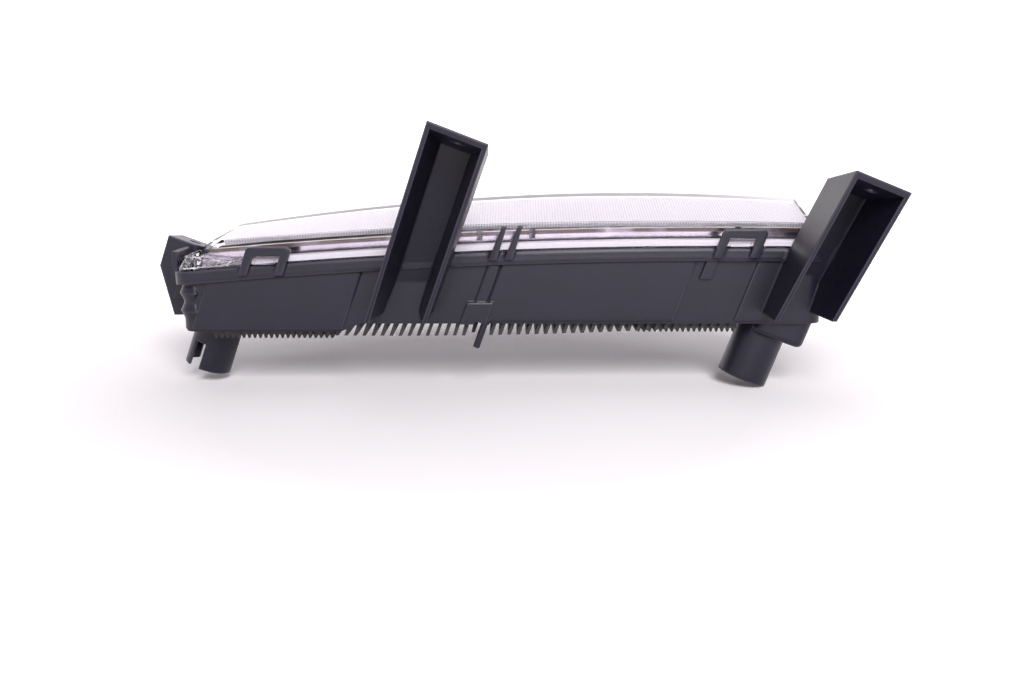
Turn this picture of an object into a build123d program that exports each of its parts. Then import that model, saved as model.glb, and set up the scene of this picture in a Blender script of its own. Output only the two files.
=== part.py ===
from build123d import *
import os
from math import cos, radians, sin, tan

# LED side lamp: black moulded housing, clear lens, chromed insides and a finned heat sink.
# Millimetres. X runs along the lamp, -Y is the near flank with the long arms, +Z is the way the lens faces.
# The origin is the root of the locating pin, at the near flank's rear edge.

# Plan outline: straight near side on Y = 0, bowed far side
body_left = -166.0
body_right = 185.0
left_depth = 40.0
middle_depth = 56.0
right_depth = 50.0
corner_radius = 8.0
least_corner = 1.0
wall = 2.2

# Bow of the rim, an arc in the XZ plane; heights "above the bow" start at the rim's underside
bow_radius = 3150.0
bow_apex_x = 125.0
bow_apex_z = 35.0

# Rim with the gutter that takes the lens
rim_out = 3.5
rim_height = 7.0
gutter_wall = 1.8
gutter_width = 3.3
gutter_floor = 3.0
lip_wall = 1.8
lip_height = 5.0

# Tray floor, with the recess behind it for the heat sink and the opening for the pedestal
floor_height = 8.0
floor_thickness = 2.5
recess_left = -152.0
recess_right = 141.0
opening_inset = 13.2
opening_left = -126.0
opening_right = 130.0

# Slope shared by arms, tubes, panels and pin, from Z towards +X
rake = 20.0
embed = 0.6

# Near arms: channels open towards -Y that also lean out, each with a screw hole in its end wall
arm_lean = 18.0
arm_end_fall = 10.0
arm_flare = 2.0
arm_width = 32.5
arm_depth = 36.0
arm_wall = 2.4
arm_draft = 8.0
arm_end_wall = 3.0
arm_back_y = -2.4
arm_hole_radius = 3.5
arm_hole_back = 15.0
left_arm_x = -47.9
left_arm_foot = 6.0
left_arm_tip = 103.3
right_arm_x = 165.3
right_arm_foot = 6.5
right_arm_tip = 79.9

# End arm on the far side at the left end, with the web that carries it
end_arm_x = -184.5
end_arm_y = 36.0
end_arm_width = 27.0
end_arm_depth = 28.0
end_arm_foot = -2.0
end_arm_tip = 37.0
end_arm_fall = -7.0
end_arm_waist = 27.0
end_arm_cut = 17.0
end_web_low = 8.0
end_web_high = 34.0
end_web_thickness = 4.0

# Raised panels on the near flank
panel_height = 1.5
panel_foot = 2.0
left_panel_foot = -3.0
panel_top = 1.5
left_panel = (-159.0, -77.0)
middle_panel = (-2.0, 102.0)
right_panel = (135.5, 152.0)
bump_x = 110.6
bump_low = 25.0
bump_width = 6.5
bump_depth = 2.5

# Skirt below the near flank at the left, in front of the fins
skirt_height = 4.5
skirt_right = -79.0
skirt_run = 11.0
skirt_corner = 3.0
skirt_reach = 15.0

# Rolls moulded round the left end
roll_reach = 1.9
roll_height = 9.0
roll_feet = (2.0, 12.0)
roll_end = -156.0
roll_taper = 24.0

# Snap loops on the rim and the lens lugs that snap into them
loop_xs = (-121.0, 134.0)
loop_width = 24.0
loop_foot = 2.0
loop_top = 17.2
loop_thickness = 2.2
loop_round = 2.4
window_width = 14.5
window_foot = 7.6
window_height = 4.8
lug_width = 11.0
lug_height = 2.2
lug_play = 0.4
end_loop_y = 20.0
end_loop_width = 22.0

# Guide prongs, latch rib and locating pin in the middle of the near flank
prong_xs = (3.4, 11.9)
prong_base = 4.4
prong_tip = 2.6
prong_foot = 3.0
prong_top = 21.0
prong_thickness = 2.0
latch_width = 14.0
latch_height = 12.0
latch_depth = 2.6
latch_x = -6.5
strip_width = 6.0
strip_depth = 1.6
pin_radius = 1.85
pin_length = 14.0
collar_radius = 2.4
collar_height = 3.0
spot_face_radius = 6.0

# Breather tube at the left, on the far side
breather_x = -152.0
breather_y = 34.0
breather_radius = 13.0
breather_bore = 10.8
breather_length = 33.5
breather_slot = 6.0
breather_slot_depth = 15.0
breather_slot_shift = -5.0
breather_play = 1.5
vent_radius = 2.0
membrane_radius = 3.6
membrane_thickness = 0.4

# Connector boss and shroud at the right
plug_x = 160.0
plug_y = 22.0
plug_radius = 14.0
plug_bore = 12.0
plug_length = 37.3
plug_depth = 24.0
boss_width = 30.0
boss_depth = 36.0
boss_shift = 6.0
boss_length = 9.5
boss_round = 6.0
boss_edge = 3.0
key_width = 6.0
key_depth = 5.0
wire_bore = 8.0

# Lens
tongue_play = 0.4
sealant_height = 1.0
lens_wall = 2.4
foot_low = 5.5
foot_high = 8.0
dome_inset = 3.6
dome_draft = 5.0
dome_base = 20.0
front_apex_x = 100.0
front_near_z = 53.5
front_far_z = 70.0
front_near_radius = 3200.0
front_far_radius = 1800.0
bevel_x = -164.5
bevel_z = 33.0
bevel_angle = 36.0

# Bezel and reflectors
bezel_inset = 10.5
bezel_wall = 1.6
bezel_top = 16.5
bezel_lip = 3.0
bezel_play = 1.2
bezel_slots = (-2.7, 26.0, 139.0)
slot_width = 3.2
slot_depth = 4.5
cup_plate_low = 10.0
cup_plate = 1.6
cup_wall = 1.2
cup_foot = 7.0
cup_gap = 3.0
cup_margin = 15.0
reflector_play = 0.5
running_start = -144.0
running_cups = 7
indicator_start = 28.0
indicator_end = 128.0
indicator_cups = 4

# Heat sink, thermal pad, board and LEDs
sink_play = 0.4
sink_base_low = 3.0
gasket_thickness = 1.0
gasket_edge = 0.6
pedestal_play = 1.2
pedestal_top = 18.0
fin_pitch = 5.0
fin_thickness = 1.9
fin_low = -7.6
fin_low_x = -47.0
fin_tip_radius = 3000.0
fin_inset = 3.6
pad_thickness = 0.5
board_thickness = 1.6
board_play = 0.8
board_left = -147.0
board_right = 153.0
led_size = 3.2
led_height = 1.1

# Screws
screw_radius = 2.0
thread_play = 0.1
screw_play = 0.3
head_radius = 3.4
head_height = 2.4
head_play = 1.6
sink_screw_xs = (-112.0, -2.0, 112.0)
sink_screw_inset = 6.5
sink_screw_length = 12.0
screw_boss_radius = 3.4
screw_boss_height = 8.0
board_screw_length = 8.0

# Driver board in the bay beside the heat sink
bay_left = 146.0
bay_floor = 2.2
driver_height = 5.5
driver_thickness = 1.6
driver_inset = 1.5
post_radius = 2.4
post_inset = 6.0
part_height = 3.0
chip_size = 8.0
coil_radius = 3.6
capacitor_radius = 2.5
part_spacing = 11.0
link_width = 10.0
link_thickness = 2.5
link_x = 150.0
header_thickness = 5.0
header_play = 0.15
blade_pitch = 5.0
blade_width = 1.6
blade_thickness = 0.8
blade_reach = 12.0

reach = 120.0
lens_room = 60.0
lean_x = tan(radians(rake))
rake_up = Vector(sin(radians(rake)), 0, cos(radians(rake)))
rake_across = Vector(cos(radians(rake)), 0, -sin(radians(rake)))
gutter_outer = rim_out - gutter_wall
gutter_inner = gutter_outer - gutter_width
floor_top = floor_height + floor_thickness
board_low = pedestal_top + pad_thickness
board_top = board_low + board_thickness
driver_top = driver_height + driver_thickness
tongue_low = gutter_floor + sealant_height
tongue_outer = gutter_outer - tongue_play
tongue_inner = gutter_inner + tongue_play
bezel_inner = bezel_inset + bezel_wall
sink_top = floor_height - gasket_thickness
window_top = window_foot + window_height
middle_x = (body_left + body_right) / 2
breather_plane = Plane(origin=(breather_x, breather_y, 0), x_dir=rake_across, z_dir=-rake_up)
plug_plane = Plane(origin=(plug_x, plug_y, 0), x_dir=rake_across, z_dir=-rake_up)
pin_plane = Plane(origin=(0, 0, 0), x_dir=rake_across, z_dir=-rake_up)
bevel_slope = radians(bevel_angle)
bevel_plane = Plane(origin=(bevel_x, 0, bevel_z), z_dir=(-sin(bevel_slope), 0, cos(bevel_slope)))


def bow_z(x):
    """Height of the rim's underside at x."""
    return bow_apex_z - (x - bow_apex_x) ** 2 / (2 * bow_radius)


def half_depth(x):
    """Half of the lamp's depth at x, the line that the LEDs follow."""
    share = (x - middle_x) / (body_right - middle_x)
    slope = (right_depth - left_depth) / 2
    dip = (right_depth + left_depth) / 2 - middle_depth
    return (middle_depth + slope * share + dip * share**2) / 2


def raked(x, z):
    """Point in the XZ plane on the raked line that starts at x on the rear edge."""
    return (x + z * lean_x, z)


def plan_outline(grow):
    """Plan of the lamp, moved outward by grow."""
    left = body_left - grow
    right = body_right + grow
    with BuildSketch(Plane.XY, mode=Mode.PRIVATE) as outline:
        with BuildLine():
            Polyline((left, left_depth + grow), (left, -grow), (right, -grow), (right, right_depth + grow))
            ThreePointArc((right, right_depth + grow), (middle_x, middle_depth + grow), (left, left_depth + grow))
        make_face()
        fillet(outline.vertices(), max(corner_radius + grow, least_corner))
    return outline.sketch


def level_plate(grow, low, high, left, right):
    """Level plate over the plan between two stations along X."""
    with BuildPart(mode=Mode.PRIVATE) as plate:
        with BuildSketch(Plane.XY.offset(low)):
            add(plan_outline(grow))
            with Locations(((left + right) / 2, 0)):
                Rectangle(right - left, 2 * reach, mode=Mode.INTERSECT)
        extrude(amount=high - low)
    return plate.part


def bowed_slab(grow, low, high, left=body_left - reach, right=body_right + reach, base=0):
    """Slab over the plan between two heights above the bow; from the level base where low is None."""
    with BuildPart(mode=Mode.PRIVATE) as slab:
        add(level_plate(grow, base, reach, left, right))
        with BuildSketch(Plane.XZ):
            with Locations((bow_apex_x, bow_apex_z - bow_radius)):
                Circle(bow_radius + high)
                if low is not None:
                    Circle(bow_radius + low, mode=Mode.SUBTRACT)
        extrude(amount=reach, both=True, mode=Mode.INTERSECT)
    return slab.part


def bowed_ring(outer, inner, low, high):
    """Ring between two offsets of the plan and two heights above the bow."""
    with BuildPart(mode=Mode.PRIVATE) as ring:
        add(bowed_slab(outer, low, high))
        add(bowed_slab(inner, low - embed, high + embed), mode=Mode.SUBTRACT)
    return ring.part


def front_block(drop):
    """Everything behind the lens's front face, which is bowed and climbs towards the far side."""
    left = body_left - rim_out
    right = body_right + rim_out
    profiles = (
        (0, front_near_z - drop, front_near_radius),
        (middle_depth, front_far_z - drop, front_far_radius),
    )
    with BuildPart(mode=Mode.PRIVATE) as block:
        for y, apex_z, radius in profiles:
            left_z = apex_z - (left - front_apex_x) ** 2 / (2 * radius)
            right_z = apex_z - (right - front_apex_x) ** 2 / (2 * radius)
            with BuildSketch(Plane.XZ.offset(-y)):
                with BuildLine():
                    Polyline((left, left_z), (left, 0), (right, 0), (right, right_z))
                    ThreePointArc((right, right_z), (front_apex_x, apex_z), (left, left_z))
                make_face()
        loft(ruled=True)
        split(bisect_by=bevel_plane.offset(-drop), keep=Keep.BOTTOM)
    return block.part


def dome(inset, drop):
    """Drafted body of the lens under its front face."""
    with BuildPart(mode=Mode.PRIVATE) as body:
        with BuildSketch(Plane.XY.offset(dome_base)):
            add(plan_outline(-inset))
        extrude(amount=front_far_z, taper=dome_draft)
        add(front_block(drop), mode=Mode.INTERSECT)
    return body.part


def roll(foot):
    """Band round the left end, from foot up, drafted both ways from its middle."""
    with BuildPart(mode=Mode.PRIVATE) as band:
        for half in (-roll_height / 2, roll_height / 2):
            with BuildSketch(Plane.XY.offset(foot + roll_height / 2)):
                add(plan_outline(roll_reach))
                with Locations((roll_end - reach / 2, 0)):
                    Rectangle(reach, 2 * reach, mode=Mode.INTERSECT)
            extrude(amount=half, taper=roll_taper)
    return band.part


def arm(x, foot, tip, back, width, depth, lean, end_fall, facing):
    """Channel that climbs along the rake, open towards facing (-1 near, +1 far), with a holed end wall."""
    climb = Vector(lean_x, facing * tan(radians(lean)), 1)
    fall = tan(radians(end_fall))
    flare = depth * tan(radians(arm_flare))
    rim_top = bow_z(x + bow_apex_z * lean_x) + rim_height
    start = Vector(x + foot * lean_x, back + climb.Y * (foot - rim_top), foot)
    length = (tip - foot + depth) * climb.length
    tip_point = start + Vector(0, facing * depth, 0) + climb * (tip - foot)
    hole_point = tip_point - Vector(0, facing, fall) * arm_hole_back
    end_plane = Plane(origin=tip_point, z_dir=(lean_x, -facing * fall, 1))
    half_mouth = width / 2 - arm_wall
    half_floor = half_mouth - depth * tan(radians(arm_draft))
    floor_y = start.Y + facing * arm_wall
    rim_y = start.Y + facing * depth
    with BuildPart(mode=Mode.PRIVATE) as pocket:
        with BuildSketch(Plane.XY.offset(foot)):
            with BuildLine():
                Polyline(
                    (start.X - half_floor, floor_y),
                    (start.X + half_floor, floor_y),
                    (start.X + half_mouth, rim_y),
                    (start.X - half_mouth, rim_y),
                    close=True,
                )
            make_face()
        extrude(amount=length, dir=climb.normalized())
        split(bisect_by=end_plane.offset(-arm_end_wall), keep=Keep.BOTTOM)
    with BuildPart(mode=Mode.PRIVATE) as channel:
        with BuildSketch(Plane.XY.offset(foot)):
            Polygon(
                (start.X - width / 2, start.Y),
                (start.X + width / 2 + flare, start.Y),
                (start.X + width / 2, rim_y),
                (start.X - width / 2, rim_y),
                align=None,
            )
        extrude(amount=length, dir=climb.normalized())
        split(bisect_by=end_plane, keep=Keep.BOTTOM)
        add(pocket.part, mode=Mode.SUBTRACT)
        with BuildSketch(Plane(origin=hole_point, z_dir=end_plane.z_dir)):
            Circle(arm_hole_radius)
        extrude(amount=2 * arm_end_wall, both=True, mode=Mode.SUBTRACT)
    return channel.part


def flank_panel(start, end, foot):
    """Corners of a raised flank panel with raked ends, up to just behind the rim."""
    return (
        raked(start, foot),
        raked(end, foot),
        raked(end, bow_z(end) + panel_top),
        raked(start, bow_z(start) + panel_top),
    )


def raked_bar(x, low, high, low_width, high_width):
    """Corners of an upright bar that leans with the rake, between two heights above the bow at x."""
    foot = bow_z(x) + low
    top = bow_z(x) + high
    shift = high * lean_x
    return (
        (x + low * lean_x - low_width / 2, foot),
        (x + low * lean_x + low_width / 2, foot),
        (x + shift + high_width / 2, top),
        (x + shift - high_width / 2, top),
    )


os.makedirs("parts", exist_ok=True)

# Housing: one black moulding
tray = bowed_slab(0, None, gutter_floor)
rim = bowed_ring(rim_out, gutter_inner - lip_wall, 0, rim_height)
gutter = bowed_ring(gutter_outer, gutter_inner, gutter_floor, lens_room)
lip_cut = bowed_ring(gutter_inner + embed, gutter_inner - lip_wall - embed, lip_height, lens_room)
inside = bowed_slab(-wall, None, 0, base=floor_top)
throat = bowed_slab(gutter_inner - lip_wall, -embed, lens_room)
recess = level_plate(-wall, 0, floor_height, recess_left, recess_right)
opening = level_plate(-opening_inset, floor_height, floor_top, opening_left, opening_right)
bay = level_plate(-wall, bay_floor, floor_top, bay_left, body_right)
near_arm = (arm_back_y, arm_width, arm_depth, arm_lean, arm_end_fall, -1)
far_arm = (end_arm_y, end_arm_width, end_arm_depth, 0, end_arm_fall, 1)
left_arm = arm(left_arm_x, left_arm_foot, left_arm_tip, *near_arm)
right_arm = arm(right_arm_x, right_arm_foot, right_arm_tip, *near_arm)
end_arm = arm(end_arm_x, end_arm_foot, end_arm_tip, *far_arm)
end_arm_edge = end_arm_x - end_arm_width / 2
end_bow = bow_z(body_left - rim_out)
sink_screws_at = [
    (x, y) for x in sink_screw_xs for y in (sink_screw_inset, 2 * half_depth(x) - sink_screw_inset)
]
rolls = [roll(foot) for foot in roll_feet]
vent_x = breather_x + floor_height * lean_x
vent_y = 2 * half_depth(vent_x) - sink_screw_inset
posts_at = [
    (x, y)
    for x in (bay_left + post_inset, body_right - post_inset)
    for y in (post_inset, 2 * half_depth(x) - post_inset)
]

with BuildPart() as boss:
    with BuildSketch(plug_plane.offset(-boss_length)):
        with Locations((boss_shift, 0)):
            RectangleRounded(boss_width, boss_depth, boss_round)
    extrude(amount=2 * boss_length)
    fillet(boss.faces().sort_by(Axis.Z)[0].edges(), boss_edge)

skirt_plan = level_plate(0, -skirt_height, embed, body_left - wall, body_right)
skirt_room = level_plate(-wall, -skirt_height, embed, body_left - wall, body_right)
with BuildPart() as skirt:
    with BuildSketch(Plane.XZ.offset(-skirt_reach)):
        Polygon(
            (body_left - wall, embed),
            (body_left - wall, skirt_corner - skirt_height),
            (body_left + skirt_corner, -skirt_height),
            (skirt_right, -skirt_height),
            (skirt_right + skirt_run, 0),
            (skirt_right + skirt_run, embed),
            align=None,
        )
    extrude(amount=skirt_reach)
    add(skirt_plan, mode=Mode.INTERSECT)
    add(skirt_room, mode=Mode.SUBTRACT)

with BuildPart() as housing:
    add(tray)
    add(rim)
    add(rolls)
    add(skirt.part)
    with BuildSketch(Plane.XZ.offset(-embed)):
        Polygon(*flank_panel(*left_panel, left_panel_foot), align=None)
        Polygon(*flank_panel(*middle_panel, panel_foot), align=None)
        Polygon(*flank_panel(*right_panel, panel_foot), align=None)
    extrude(amount=panel_height + embed)
    add(left_arm)
    add(right_arm)
    add(end_arm)
    with BuildSketch(Plane.XZ.offset(-end_arm_y - end_arm_depth)):
        Polygon(
            (end_arm_edge + end_arm_waist * lean_x, end_arm_waist),
            (end_arm_edge + end_arm_foot * lean_x - embed, end_arm_foot - embed),
            (end_arm_edge + end_arm_foot * lean_x + end_arm_cut, end_arm_foot - embed),
            align=None,
        )
    extrude(amount=end_arm_depth + embed, mode=Mode.SUBTRACT)
    with BuildSketch(Plane.XZ.offset(-end_arm_y - arm_wall)):
        Polygon(
            raked(end_arm_x, end_web_low),
            (body_left + wall, end_web_low),
            (body_left + wall, end_web_high),
            raked(end_arm_x, end_web_high),
            align=None,
        )
    extrude(amount=end_web_thickness)
    add(boss.part)
    add(recess, mode=Mode.SUBTRACT)
    with BuildSketch(breather_plane.offset(-breather_radius)):
        Circle(breather_radius)
    extrude(amount=breather_radius + breather_length)
    with BuildSketch(plug_plane):
        Circle(plug_radius)
    extrude(amount=plug_length)
    for cavity in (inside, throat, gutter, lip_cut, opening, bay):
        add(cavity, mode=Mode.SUBTRACT)

    # Bosses and posts inside
    with BuildSketch(Plane.XY.offset(floor_top)):
        with Locations(*sink_screws_at):
            Circle(screw_boss_radius)
    extrude(amount=screw_boss_height)
    with BuildSketch(Plane.XY.offset(bay_floor)):
        with Locations(*posts_at):
            Circle(post_radius)
    extrude(amount=driver_height - bay_floor)
    with BuildSketch(Plane.XY.offset(floor_height)):
        with Locations(*sink_screws_at):
            Circle(screw_radius + thread_play)
    extrude(amount=floor_thickness + screw_boss_height, mode=Mode.SUBTRACT)

    # Breather: bore, drain slot and vent into the tray
    with BuildSketch(breather_plane):
        Circle(breather_bore)
    extrude(amount=breather_length, mode=Mode.SUBTRACT)
    with BuildSketch(breather_plane.offset(breather_length - breather_slot_depth)):
        with Locations((breather_slot_shift, 0)):
            Rectangle(breather_slot, 3 * breather_radius)
    extrude(amount=breather_slot_depth, mode=Mode.SUBTRACT)
    with Locations((vent_x, vent_y, floor_top)):
        Hole(vent_radius, depth=floor_top)

    # Connector shroud: socket, way for the terminals and key notch
    with BuildSketch(plug_plane.offset(plug_length - plug_depth)):
        Circle(plug_bore)
    extrude(amount=plug_depth, mode=Mode.SUBTRACT)
    with BuildSketch(plug_plane.offset(-wire_bore)):
        Circle(wire_bore)
    extrude(amount=wire_bore + plug_length - plug_depth, mode=Mode.SUBTRACT)
    with BuildSketch(plug_plane.offset(plug_length - key_depth)):
        with Locations((0, -plug_radius)):
            Rectangle(key_width, plug_radius)
    extrude(amount=key_depth, mode=Mode.SUBTRACT)

    # Loops, prongs, latch and pin on the near side
    with BuildSketch(Plane.XZ.offset(rim_out - embed)):
        for x in loop_xs:
            loop = Polygon(*raked_bar(x, loop_foot, loop_top, loop_width, loop_width), align=None)
            fillet(loop.vertices().sort_by(Axis.Y)[2:], loop_round)
            Polygon(*raked_bar(x, 0, window_top, window_width, window_width), align=None, mode=Mode.SUBTRACT)
    extrude(amount=loop_thickness + embed)
    with BuildSketch(Plane.YZ.offset(body_left - rim_out - loop_thickness)):
        with Locations((end_loop_y, end_bow + (loop_foot + loop_top) / 2)):
            Rectangle(end_loop_width, loop_top - loop_foot)
        with Locations((end_loop_y, end_bow + window_top / 2)):
            Rectangle(window_width, window_top, mode=Mode.SUBTRACT)
    extrude(amount=loop_thickness + embed)
    with BuildSketch(Plane.XZ.offset(rim_out - embed)):
        for x in prong_xs:
            Polygon(*raked_bar(x, prong_foot, prong_top, prong_base, prong_tip), align=None)
    extrude(amount=prong_thickness + embed)
    with BuildSketch(Plane.XZ.offset(-embed)):
        Polygon(
            raked(latch_x - latch_width / 2, 0),
            raked(latch_x + latch_width / 2, 0),
            raked(latch_x + latch_width / 2, latch_height),
            raked(latch_x - latch_width / 2, latch_height),
            align=None,
        )
    extrude(amount=latch_depth + embed)
    with BuildSketch(Plane.XZ.offset(-embed)):
        Polygon(
            raked(latch_x - strip_width / 2, 0),
            raked(latch_x + strip_width / 2, 0),
            raked(latch_x + strip_width / 2, bow_z(latch_x)),
            raked(latch_x - strip_width / 2, bow_z(latch_x)),
            align=None,
        )
    extrude(amount=strip_depth + embed)
    with BuildSketch(Plane.XZ.offset(-embed)):
        Polygon(
            raked(bump_x - bump_width / 2, bump_low),
            raked(bump_x + bump_width / 2, bump_low),
            raked(bump_x + bump_width / 2, bow_z(bump_x) + embed),
            raked(bump_x - bump_width / 2, bow_z(bump_x) + embed),
            align=None,
        )
    extrude(amount=bump_depth + embed)
    with BuildSketch(Plane(origin=rake_up * collar_height, z_dir=-rake_up)):
        Circle(collar_radius)
    extrude(amount=collar_height)
    with BuildSketch(pin_plane):
        Circle(spot_face_radius)
    extrude(amount=spot_face_radius, mode=Mode.SUBTRACT)
    with BuildSketch(pin_plane):
        Circle(pin_radius)
    extrude(amount=pin_length)
housing.part.label = "housing"
export_step(housing.part, "parts/housing.step")

# Lens: clear moulding whose tongue stands in the gutter
tongue = bowed_ring(tongue_outer, tongue_inner, tongue_low, foot_low + embed)
foot = bowed_slab(tongue_outer, foot_low, foot_high)
lens_shell = dome(dome_inset, 0)
lens_cavity = dome(dome_inset + lens_wall, lens_wall)
below_foot = bowed_slab(0, None, foot_low)

with BuildPart() as lens:
    add(lens_shell)
    add(below_foot, mode=Mode.SUBTRACT)
    add(foot)
    with BuildSketch(Plane.XZ.offset(-dome_inset - lens_wall)):
        for x in loop_xs:
            low = window_foot + lug_play
            Polygon(*raked_bar(x, low, low + lug_height, lug_width, lug_width), align=None)
    extrude(amount=dome_inset + lens_wall + rim_out + loop_thickness - lug_play)
    with BuildSketch(Plane.YZ.offset(body_left - rim_out - loop_thickness + lug_play)):
        with Locations((end_loop_y, end_bow + window_foot + window_height / 2)):
            Rectangle(lug_width, lug_height)
    extrude(amount=dome_inset + lens_wall + rim_out + loop_thickness)
    add(lens_cavity, mode=Mode.SUBTRACT)
    add(tongue)
lens.part.label = "lens"
export_step(lens.part, "parts/lens.step")

# Sealant bead under the tongue
sealant_ring = bowed_ring(gutter_outer, gutter_inner, gutter_floor, tongue_low)
with BuildPart() as lens_sealant:
    add(sealant_ring)
lens_sealant.part.label = "lens_sealant"
export_step(lens_sealant.part, "parts/lens_sealant.step")

# Chromed bezel standing on the tray floor
bezel_outside = bowed_slab(-bezel_inset, None, bezel_top, base=floor_top)
bezel_inside = bowed_slab(-bezel_inner, None, bezel_top - bezel_wall, base=floor_top)
bezel_mouth = bowed_slab(-bezel_inner - bezel_lip, None, bezel_top, base=floor_top)
with BuildPart() as bezel:
    add(bezel_outside)
    add(bezel_inside, mode=Mode.SUBTRACT)
    add(bezel_mouth, mode=Mode.SUBTRACT)
    split(bisect_by=bevel_plane.offset(-lens_wall - bezel_play), keep=Keep.BOTTOM)
    with BuildSketch(Plane.XZ.offset(-bezel_inset)):
        for x in bezel_slots:
            with Locations((x, bow_z(x) + bezel_top)):
                Rectangle(slot_width, 2 * slot_depth)
    extrude(amount=-bezel_wall - bezel_lip, mode=Mode.SUBTRACT)
bezel.part.label = "bezel"
export_step(bezel.part, "parts/bezel.step")

# Reflectors: a bowed plate with a funnel down to each LED
running_pitch = (indicator_start - running_start) / running_cups
indicator_pitch = (indicator_end - indicator_start) / indicator_cups
running_xs = [running_start + running_pitch * (i + 0.5) for i in range(running_cups)]
indicator_xs = [indicator_start + indicator_pitch * (i + 0.5) for i in range(indicator_cups)]
reflector_inset = bezel_inner + reflector_play


def funnel(x, pitch, top, grow):
    """Four-sided funnel from the LED board up to a height, widened by grow."""
    y = half_depth(x)
    narrow = min(half_depth(x - pitch / 2), half_depth(x + pitch / 2))
    half_mouth = 2 * narrow - y - cup_margin
    with BuildPart(mode=Mode.PRIVATE) as cone:
        with BuildSketch(Plane((x, y, board_top))):
            Rectangle(cup_foot + 2 * grow, cup_foot + 2 * grow)
        with BuildSketch(Plane((x, y, top))):
            Rectangle(pitch - cup_gap + 2 * grow, 2 * half_mouth + 2 * grow)
        loft()
    return cone.part


def reflector(left, right, xs, pitch):
    """Bowed plate between two stations with a cup at each x."""
    plate_top = cup_plate_low + cup_plate
    plate = bowed_slab(-reflector_inset, cup_plate_low, plate_top, left, right)
    funnels = [funnel(x, pitch, bow_z(x) + cup_plate_low + cup_plate / 2, cup_wall) for x in xs]
    cups = [funnel(x, pitch, bow_z(x) + plate_top + embed, 0) for x in xs]
    with BuildPart(mode=Mode.PRIVATE) as body:
        add(plate)
        add(funnels)
        add(cups, mode=Mode.SUBTRACT)
    return body.part


running_light = reflector(body_left, indicator_start - reflector_play, running_xs, running_pitch)
with BuildPart() as running_reflector:
    add(running_light)
running_reflector.part.label = "running_reflector"
export_step(running_reflector.part, "parts/running_reflector.step")

indicator_light = reflector(indicator_start, body_right, indicator_xs, indicator_pitch)
with BuildPart() as indicator_reflector:
    add(indicator_light)
indicator_reflector.part.label = "indicator_reflector"
export_step(indicator_reflector.part, "parts/indicator_reflector.step")

# LED board on the thermal pad, with its LEDs and screws
board_screws_at = [
    (x, half_depth(x))
    for x in (running_xs[2] + running_pitch / 2, indicator_xs[1] + indicator_pitch / 2)
]
board_plate = level_plate(-bezel_inner - board_play, board_low, board_top, board_left, board_right)
with BuildPart() as led_board:
    add(board_plate)
    with BuildSketch(Plane.XY.offset(board_low)):
        with Locations(*board_screws_at):
            Circle(screw_radius + screw_play)
    extrude(amount=board_thickness, mode=Mode.SUBTRACT)
led_board.part.label = "led_board"
export_step(led_board.part, "parts/led_board.step")

for name, xs in (("white_leds", running_xs), ("amber_leds", indicator_xs)):
    with BuildPart() as leds:
        with BuildSketch(Plane.XY.offset(board_top)):
            with Locations(*[(x, half_depth(x)) for x in xs]):
                Rectangle(led_size, led_size)
        extrude(amount=led_height)
    leds.part.label = name
    export_step(leds.part, f"parts/{name}.step")

pedestal_inset = opening_inset + pedestal_play
pedestal_left = opening_left + pedestal_play
pedestal_right = opening_right - pedestal_play
pad_plate = level_plate(-pedestal_inset, pedestal_top, board_low, pedestal_left, pedestal_right)
with BuildPart() as thermal_pad:
    add(pad_plate)
    with BuildSketch(Plane.XY.offset(pedestal_top)):
        with Locations(*board_screws_at):
            Circle(screw_radius + screw_play)
    extrude(amount=pad_thickness, mode=Mode.SUBTRACT)
thermal_pad.part.label = "thermal_pad"
export_step(thermal_pad.part, "parts/thermal_pad.step")

# Heat sink: plate in the recess, pedestal through the opening and raked fins behind
sink_left = recess_left + sink_play
sink_right = recess_right - sink_play
base_plate = level_plate(-wall - sink_play, sink_base_low, sink_top, sink_left, sink_right)
pedestal = level_plate(-pedestal_inset, sink_top, pedestal_top, pedestal_left, pedestal_right)
fin_room = level_plate(-fin_inset, -reach, sink_base_low, sink_left, sink_right)
fin_count = int((sink_right - sink_left) / fin_pitch)
with BuildPart() as fins:
    with BuildSketch(Plane.XZ):
        for i in range(fin_count):
            x = sink_left + fin_pitch * (i + 0.5)
            Polygon(
                raked(x - fin_thickness / 2, 2 * fin_low),
                raked(x + fin_thickness / 2, 2 * fin_low),
                raked(x + fin_thickness / 2, sink_base_low),
                raked(x - fin_thickness / 2, sink_base_low),
                align=None,
            )
        with Locations((fin_low_x, fin_low + fin_tip_radius)):
            Circle(fin_tip_radius, mode=Mode.INTERSECT)
    extrude(amount=-reach)
    add(fin_room, mode=Mode.INTERSECT)

with BuildPart() as heat_sink:
    add(base_plate)
    add(pedestal)
    add(fins.part)
    with BuildSketch(breather_plane.offset(-reach)):
        Circle(breather_radius + breather_play)
    extrude(amount=2 * reach, mode=Mode.SUBTRACT)
    with BuildSketch(Plane.XY.offset(sink_base_low)):
        with Locations(*sink_screws_at):
            Circle(head_radius + head_play)
    extrude(amount=reach, dir=-rake_up, mode=Mode.SUBTRACT)
    with BuildSketch(Plane.XY.offset(sink_base_low)):
        with Locations(*sink_screws_at):
            Circle(screw_radius + screw_play)
    extrude(amount=sink_top - sink_base_low, mode=Mode.SUBTRACT)
    with BuildSketch(Plane.XY.offset(pedestal_top)):
        with Locations(*board_screws_at):
            Circle(screw_radius + thread_play)
    extrude(amount=-board_screw_length, mode=Mode.SUBTRACT)
heat_sink.part.label = "heat_sink"
export_step(heat_sink.part, "parts/heat_sink.step")

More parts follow.
